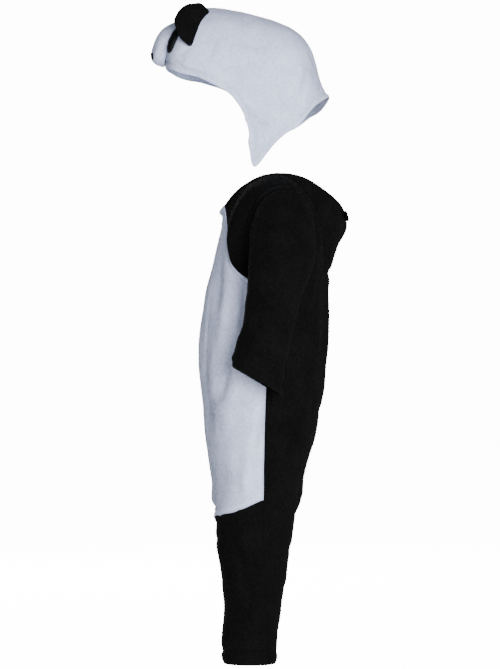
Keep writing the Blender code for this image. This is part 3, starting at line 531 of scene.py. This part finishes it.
def line_distance(flat, line):
    """Distance of flat points from a line through some places, and how far along it they lie, 0 to 1."""
    line = np.array(line, float)
    lengths = np.linalg.norm(np.diff(line, axis=0), axis=1)
    starts = np.concatenate([[0.0], np.cumsum(lengths)])
    best = np.full(len(flat), np.inf)
    along = np.zeros(len(flat))
    for start, end, length, before in zip(line, line[1:], lengths, starts):
        run = (end - start) / length
        share = np.clip((flat - start) @ run, 0, length)
        distance = np.linalg.norm(flat - start - share[:, None] * run, axis=1)
        nearer = distance < best
        best[nearer] = distance[nearer]
        along[nearer] = (before + share[nearer]) / starts[-1]
    return best, along


def fold_heights(points, normals, is_sleeve, folds, axes, facing):
    """How far a view's folds lift the cloth at each point."""
    height = np.zeros(len(points))
    flat = points[:, axes]
    towards = np.clip(normals @ np.array(facing, float) * FACING_GAIN, 0, 1)
    for part, line, width, depth in folds:
        chosen = is_sleeve if part == "sleeve" else ~is_sleeve
        distance, along = line_distance(flat, line)
        spread = distance / (width * MILLIMETRE)
        profile = (1 - FOLD_FLANK * spread**2) * np.exp(-0.5 * spread**2)
        ends = np.sin(np.pi * np.clip(along, FOLD_END, 1 - FOLD_END)) ** FOLD_FADE
        height += chosen * towards * profile * ends * depth * MILLIMETRE
    return height


def right_folds(left):
    """The left side's folds again for the right side, shifted a little and less deep."""
    right = []
    for k, (part, line, width, depth) in enumerate(left):
        shift = RIGHT_SHIFT * math.sin(RIGHT_TURN * k)
        moved = [(y + shift, z - shift * RIGHT_SLANT) for y, z in line]
        right.append((part, moved, width, depth * RIGHT_DEPTH))
    return right


def all_folds(points, normals, is_sleeve, parts):
    """How far the folds of one garment lift the cloth, from the left, the right, the front and the back."""
    side, front, back = (
        [fold for fold in folds if fold[0] in parts] for folds in (SIDE_FOLDS, FRONT_FOLDS, BACK_FOLDS)
    )
    left = [(part, [seen(*place) for place in line], width, depth) for part, line, width, depth in side]
    views = (
        # folds, axes that the view shows, direction that its cloth faces
        (left, (1, 2), (1, 0, 0)),
        (right_folds(left), (1, 2), (-1, 0, 0)),
        (front, (0, 2), (0, -1, 0)),
        (back, (0, 2), (0, 1, 0)),
    )
    height = np.zeros(len(points))
    for folds, axes, facing in views:
        height += fold_heights(points, normals, is_sleeve, folds, axes, facing)
    return height


def cloth_noise(points, size, seed):
    """Smooth noise between -1 and 1 with features of about this size in metres."""
    offset = Vector([seed * step for step in NOISE_STEPS])
    return np.array([noise.noise(Vector(p) / size + offset) for p in points])


def hill(distance, height, place, spread):
    """A smooth hill of this height and spread across a seam or an edge, at this place from it."""
    return height * np.exp(-(((distance - place) / spread) ** 2))


def hem_widths(points, is_sleeve, is_hood):
    """How wide the turned hem is at each point: wide at the trouser legs, narrow at the neck and the hood."""
    widths = np.where(is_sleeve, CUFF_HEM, NARROW_HEM)
    return np.where((points[:, 2] < CROTCH_Z) & (not is_hood), LEG_HEM, widths)


def seam_profile(distance):
    """The dip along a seam, with the cloth swelling beside it."""
    return hill(distance, *SEAM_DIP) + hill(distance, *SEAM_SWELL)


def hem_profile(distance, width):
    """The turned edge: rounded off, full along its middle, and drawn in along its stitches."""
    deep = width / LEG_HEM
    full = hill(distance, HEM_FULL * deep, width * HEM_MIDDLE, width * HEM_SPREAD)
    return hill(distance, *EDGE_ROUND) + full - hill(distance, STITCH_DIP * deep, width, STITCH_SPREAD)


def shade_depth(seam, free, hem, height):
    """How much painted shade each point gets: in the seams, along the stitches of a hem and in the creases.
    """
    stitches = hill(free, STITCH_SHADE * hem / LEG_HEM, hem, STITCH_SHADE_SPREAD)
    return hill(seam, *SEAM_SHADE) + stitches + CREASE_SHADE * np.clip(-height / CREASE_DEPTH, 0, 1)


def unevenness(points, free):
    """How far the cloth waves and its grain lift each point, calmer near a free edge."""
    calm = np.clip(free / CALM_REACH, CALM_LEAST, 1)
    return calm * sum(height * cloth_noise(points, size, seed) for height, size, seed in WAVES)


def dress(names, parts):
    """The garment's panels, smooth, creased and cut apart at the seams."""
    coarse, fine = refined(garment_cage(names), (LINING_LEVEL, FINE_LEVEL))
    coarse_points, coarse_quads, coarse_marks = coarse
    smooth, quads, marks = fine
    normals = point_normals(smooth, quads)
    seam, free = seam_and_free(smooth, quads, marks)
    is_sleeve = in_panels(len(smooth), quads, marks, names, "sleeve")
    is_front = in_panels(len(smooth), quads, marks, names, "belly_front")
    hem = hem_widths(smooth, is_sleeve, names is HOOD)

    height = all_folds(smooth, normals, is_sleeve, parts)
    # Painted shade: in the seams, along the stitches of a hem and in the creases
    depth = shade_depth(seam, free, hem, height)
    height += np.where(is_front, 1.0, SOFT_SEAM) * seam_profile(seam) + hem_profile(free, hem)
    sag = hill(free, HOOD_SAG if names is HOOD else 0.0, 0.0, HOOD_SAG_SPREAD)
    hung = smooth - np.outer(sag, (0, 0, 1))
    height += unevenness(hung, free)
    grain, size, seed = GRAIN
    height += grain * cloth_noise(hung, size, seed)
    points = hung + normals * height[:, None]
    normals = point_normals(points, quads)

    cover = np.clip((np.minimum(seam, free) - SPARSE_EDGE) / SPARSE_RUN, SPARSE_LEAST, 1)
    tree = search_tree(smooth)
    above = np.array([tree.find(place)[1] for place in coarse_points])
    made = {}
    for mark, name in enumerate(names):
        own = quads[marks == mark]
        lining = above[coarse_quads[coarse_marks == mark]]
        obj = panel(name, points, normals, own, lining, depth)
        made[name] = Cloth(obj, points, normals, own, cover)
    return made


def linked(name, mesh):
    """A new object of the scene with this mesh."""
    obj = bpy.data.objects.new(name, mesh)
    bpy.context.scene.collection.objects.link(obj)
    return obj


def rim(own, lining, out_order, in_order):
    """The faces between a panel's outside and its lining, where an edge of the lining spans two outside."""
    following = {}
    for a, b in border_edges(own):
        following.setdefault(a, []).append(b)
    faces = []
    for a, b in border_edges(lining):
        middle = next(m for m in following[a] if b in following.get(m, ()))
        faces.append([out_order[b], out_order[middle], out_order[a], in_order[a], in_order[b]])
    return faces


def panel(name, points, normals, own, lining, depth):
    """One panel as a closed thin shell: a fine outside, a coarser lining side and a rim between them."""
    outside, inside = np.unique(own), np.unique(lining)
    out_order = {int(p): k for k, p in enumerate(outside)}
    in_order = {int(p): len(outside) + k for k, p in enumerate(inside)}
    places = np.vstack([points[outside], points[inside] - normals[inside] * SHELL])
    faces = [[out_order[int(p)] for p in quad] for quad in own]
    faces += [[in_order[int(p)] for p in reversed(quad)] for quad in lining]
    faces += rim(own, lining, out_order, in_order)
    mesh = bpy.data.meshes.new("plush_" + name)
    mesh.from_pydata(places, [], faces)
    # Painted shade on the lining, deeper towards the nape
    painted_lining_shade = PAINTED_LINING_SHADE * np.clip((points[inside, 1] - LINING_SHADE_Y) / LINING_SHADE_RUN, 0, 1)
    # The painted shade of each point, outside and on the lining
    shade = mesh.attributes.new("shade", "FLOAT", "POINT")
    shade.data.foreach_set("value", np.concatenate([depth[outside], painted_lining_shade]).astype(np.float32))
    mesh.shade_smooth()
    mesh.set_sharp_from_angle(angle=SHARP_ANGLE)
    return linked("plush_" + name, mesh)


def within(values, quad, u, v):
    """The values of four corners, mixed at the shares u and v across the quad."""
    low = values[quad[:, 0]] * (1 - u) + values[quad[:, 1]] * u
    high = values[quad[:, 3]] * (1 - u) + values[quad[:, 2]] * u
    return low * (1 - v) + high * v


def blades(cloth, count, rng):
    """The three corners of each blade of pile, and the cloth's normal under it."""
    a, b, c, d = (cloth.points[cloth.quads[:, k]] for k in range(4))
    weights = np.linalg.norm(np.cross(c - a, d - b), axis=1) * cloth.cover[cloth.quads].mean(axis=1)
    chosen = rng.choice(len(cloth.quads), count, p=weights / weights.sum())
    u, v = rng.random((2, count, 1))
    quad = cloth.quads[chosen]
    root = within(cloth.points, quad, u, v)
    normal = unit(within(cloth.normals, quad, u, v))
    lean = np.array([0, 0, -1.0]) + rng.normal(0, LEAN_SPREAD, (count, 3))
    lean = unit(lean - normal * np.sum(lean * normal, axis=1, keepdims=True))
    rise = unit(normal * rng.uniform(*BLADE_RISE, (count, 1)) + lean * rng.uniform(*BLADE_LEAN, (count, 1)))
    side = unit(np.cross(rise, rng.normal(0, 1, (count, 3))))
    reach = rng.uniform(*BLADE_LENGTHS, (count, 1)) * PILE_LENGTH
    half = rng.uniform(*BLADE_HALVES, (count, 1))
    root = root - normal * ROOT_DEPTH
    return np.stack([root - side * half, root + side * half, root + rise * reach], axis=1), normal


def pile(name, cloth, count, seed):
    """Short pile on a piece: blades that lean down the cloth, sparse beside the seams."""
    places, normal = blades(cloth, count, np.random.default_rng(seed))
    mesh = bpy.data.meshes.new("pile_" + name)
    mesh.vertices.add(count * 3)
    mesh.vertices.foreach_set("co", places.ravel())
    mesh.loops.add(count * 3)
    mesh.loops.foreach_set("vertex_index", np.arange(count * 3))
    mesh.polygons.add(count)
    mesh.polygons.foreach_set("loop_start", np.arange(0, count * 3, 3))
    mesh.update(calc_edges=True)
    mesh.shade_smooth()
    mesh.normals_split_custom_set_from_vertices(np.repeat(normal, 3, axis=0))
    return linked("pile_" + name, mesh)


def head_surface():
    """The hood's solids, to find how far a point lies from them."""
    bm = bmesh.new()
    for name in HOOD:
        bm.from_mesh(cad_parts[name].data)
    found = BVHTree.FromBMesh(bm)
    bm.free()
    return found


def drawn_ear(points):
    """An ear's points, pulled taller where it stands free of the head, and to a round tip below."""
    head = head_surface()
    free = np.array([head.find_nearest(point)[3] for point in points])
    low, high = points[:, 2].min(), points[:, 2].max()
    rise = (points[:, 2] - (low + high) / 2) * EAR_STRETCH
    rise = np.where(rise > 0, rise * np.clip(free / EAR_FREE, 0, 1), rise)
    tip = np.clip((low + EAR_TIP - points[:, 2]) / EAR_TIP, 0, 1) ** EAR_TIP_CURVE
    back = EAR_BACK + tip * EAR_TIP_SHARE * (EAR_TIP_Y - EAR_BACK - points[:, 1])
    return points + np.stack([np.zeros(len(points)), back, rise], axis=1)


def stuffed_piece(node, height, size, seed):
    """A stuffed piece: its solid made smooth, with small unevenness of the stuffing."""
    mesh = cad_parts[node].data.copy()
    bm = bmesh.new()
    bm.from_mesh(mesh)
    bmesh.ops.remove_doubles(bm, verts=bm.verts, dist=SAME_POINT)
    join_to_quads(bm)
    bm.to_mesh(mesh)
    bm.free()
    points, quads, _ = refined(mesh, (STUFFED_LEVEL,))[0]
    if node.startswith("ear"):
        points = drawn_ear(points)
    if node.startswith("neck_tab"):
        points = points + np.array([0, 0, TAB_RISE])
    uneven = height * cloth_noise(points, size, seed)
    points = points + point_normals(points, quads) * uneven[:, None]
    made = bpy.data.meshes.new("plush_" + node)
    made.from_pydata(points, [], quads.tolist())
    made.shade_smooth()
    obj = linked("plush_" + node, made)
    return Cloth(obj, points, point_normals(points, quads), quads, np.ones(len(points)))


def new_material(name):
    """A node material and its Principled shader."""
    made = bpy.data.materials.new(name)
    made.use_nodes = True
    return made, made.node_tree.nodes["Principled BSDF"]


def noise_node(tree, scale, detail, roughness):
    """Noise in the object's own metres."""
    place = tree.nodes.new("ShaderNodeTexCoord")
    made = tree.nodes.new("ShaderNodeTexNoise")
    made.inputs["Scale"].default_value = scale
    made.inputs["Detail"].default_value = detail
    made.inputs["Roughness"].default_value = roughness
    tree.links.new(place.outputs["Object"], made.inputs["Vector"])
    return made.outputs["Fac"]


def ramp_node(tree, value, low, low_colour, high, high_colour):
    """The low colour up to the low value, the high one from the high value on, and between them a blend."""
    made = tree.nodes.new("ShaderNodeValToRGB")
    for element, at, colour in zip(made.color_ramp.elements, (low, high), (low_colour, high_colour)):
        element.position = at
        element.color = (*colour, 1.0)
    tree.links.new(value, made.inputs["Fac"])
    return made.outputs["Color"]


def multiply_node(tree, first, second):
    """The product of two colours. A Mix node has its factor at input 0 and its colours at 6 and 7."""
    made = tree.nodes.new("ShaderNodeMix")
    made.data_type = "RGBA"
    made.blend_type = "MULTIPLY"
    made.inputs[0].default_value = 1.0
    tree.links.new(first, made.inputs[6])
    tree.links.new(second, made.inputs[7])
    return made.outputs[2]


def math_node(tree, operation, *values):
    """Arithmetic on numbers and outputs."""
    made = tree.nodes.new("ShaderNodeMath")
    made.operation = operation
    for socket, value in zip(made.inputs, values):
        if isinstance(value, bpy.types.NodeSocket):
            tree.links.new(value, socket)
        else:
            socket.default_value = value
    return made.outputs[0]


def shared_node(tree, first, share, second):
    """The sum of two outputs, the first with this share and the second with the rest."""
    rest = math_node(tree, "MULTIPLY", second, 1 - share)
    return math_node(tree, "ADD", math_node(tree, "MULTIPLY", first, share), rest)


def plush(name, deep, pale, sheen, bump):
    """Short-pile plush: clumps of nap, a slow change of its lie, and painted shade at seams and stitches."""
    made, shader = new_material(name)
    tree = made.node_tree
    clumps, lie, fibres = (noise_node(tree, *pattern) for pattern in (CLUMPS, LIE, FIBRES))
    colour = ramp_node(tree, shared_node(tree, clumps, CLUMP_COLOUR, lie), DEEP_STOP, deep, PALE_STOP, pale)
    # The points' painted shade darkens the colour
    shade = tree.nodes.new("ShaderNodeAttribute")
    shade.attribute_name = "shade"
    left = math_node(tree, "MULTIPLY_ADD", shade.outputs["Fac"], -SHADE_STRENGTH, 1.0)
    grey = ramp_node(tree, left, 0.0, (0, 0, 0), 1.0, WHITE)
    tree.links.new(multiply_node(tree, colour, grey), shader.inputs["Base Color"])
    bumps = tree.nodes.new("ShaderNodeBump")
    bumps.inputs["Strength"].default_value = bump
    bumps.inputs["Distance"].default_value = BUMP_HEIGHT
    tree.links.new(shared_node(tree, clumps, CLUMP_HEIGHT, fibres), bumps.inputs["Height"])
    tree.links.new(bumps.outputs["Normal"], shader.inputs["Normal"])
    shader.inputs["Roughness"].default_value = CLOTH_ROUGHNESS
    shader.inputs["Specular IOR Level"].default_value = CLOTH_SPECULAR
    shader.inputs["Sheen Weight"].default_value = sheen
    shader.inputs["Sheen Roughness"].default_value = SHEEN_ROUGHNESS
    shader.inputs["Sheen Tint"].default_value = (*WHITE, 1.0)
    return made


def put_on(obj, material, slot, *nodes):
    """Gives a piece its material and its place in the frame."""
    obj.data.materials.append(material)
    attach(obj, "root")
    if nodes:
        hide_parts(*nodes)


def add_panels(looks):
    """The panels of both garments, with their pile."""
    made = dress(SUIT, ("body", "sleeve"))
    made.update(dress(HOOD, ("hood",)))
    for seed, (name, cloth) in enumerate(made.items(), start=1):
        width, length, area, slot = PANELS[name.replace("_right", "_left")]
        put_on(cloth.obj, looks[slot], slot, name)
        nap = pile(name, cloth, int(area * PILE_DENSITY), seed)
        put_on(nap, looks[slot], slot)


def add_stuffed(looks):
    """The stuffed pieces, all but the felt nose with pile."""
    for k, (node, slot, look, height, size, fill) in enumerate(STUFFED):
        cloth = stuffed_piece(node, height, size, UNEVEN_SEED + k)
        put_on(cloth.obj, looks[look], slot, node)
        if slot != "black_felt":
            nap = pile(node, cloth, STUFFED_BLADES, STUFFED_PILE_SEED + k)
            put_on(nap, looks[look], slot)


def add_camera():
    """The photograph's camera, straight from the wearer's left."""
    camera = bpy.data.cameras.new("camera")
    camera.sensor_width = SENSOR
    camera.lens = SENSOR * CAMERA_DISTANCE / (IMAGE_HEIGHT * PIXEL)
    obj = bpy.data.objects.new("camera", camera)
    obj.location = (CAMERA_DISTANCE, *seen(IMAGE_WIDTH / 2, IMAGE_HEIGHT / 2))
    obj.rotation_euler = (math.radians(90), 0, math.radians(90))
    bpy.context.scene.collection.objects.link(obj)
    bpy.context.scene.camera = obj


def add_light(name, place, towards, size, power):
    """A soft square lamp that looks at a point."""
    lamp = bpy.data.lights.new(name, "AREA")
    lamp.size = size
    lamp.energy = power
    obj = bpy.data.objects.new(name, lamp)
    obj.location = place
    obj.rotation_euler = (Vector(towards) - Vector(place)).to_track_quat("-Z", "Y").to_euler()
    bpy.context.scene.collection.objects.link(obj)


def seen_brightness(tree, seen_strength, lit_strength):
    """A number that is one value where the camera looks and another where light falls."""
    path = tree.nodes.new("ShaderNodeLightPath")
    span = math_node(tree, "MULTIPLY", path.outputs["Is Camera Ray"], seen_strength - lit_strength)
    return math_node(tree, "ADD", span, lit_strength)


def add_floor():
    """A plain pale floor that the camera sees as white as the surroundings."""
    mesh = bpy.data.meshes.new("floor")
    half, low = FLOOR_HALF, FLOOR_Z
    corners = [(-half, -half, low), (half, -half, low), (half, half, low), (-half, half, low)]
    mesh.from_pydata(corners, [], [(0, 1, 2, 3)])
    made, shader = new_material("floor")
    shader.inputs["Base Color"].default_value = (*FLOOR_COLOUR, 1.0)
    shader.inputs["Roughness"].default_value = 1.0
    shader.inputs["Emission Color"].default_value = (*WHITE, 1.0)
    tree = made.node_tree
    tree.links.new(seen_brightness(tree, WHITE_SEEN, 0.0), shader.inputs["Emission Strength"])
    mesh.materials.append(made)
    linked("floor", mesh)


def add_world():
    """Plain white surroundings, which also give soft light from all round."""
    world = bpy.data.worlds.new("world")
    world.use_nodes = True
    tree = world.node_tree
    background = tree.nodes["Background"]
    background.inputs["Color"].default_value = (*WHITE, 1.0)
    tree.links.new(seen_brightness(tree, WHITE_SEEN, AMBIENT), background.inputs["Strength"])
    bpy.context.scene.world = world


def main():
    """Builds the looks around the frame."""
    looks = {name: plush(name + "_look", *look) for name, look in LOOKS.items()}
    add_panels(looks)
    add_stuffed(looks)
    add_camera()
    add_floor()
    add_world()
    for light in LIGHTS:
        add_light(*light)


main()
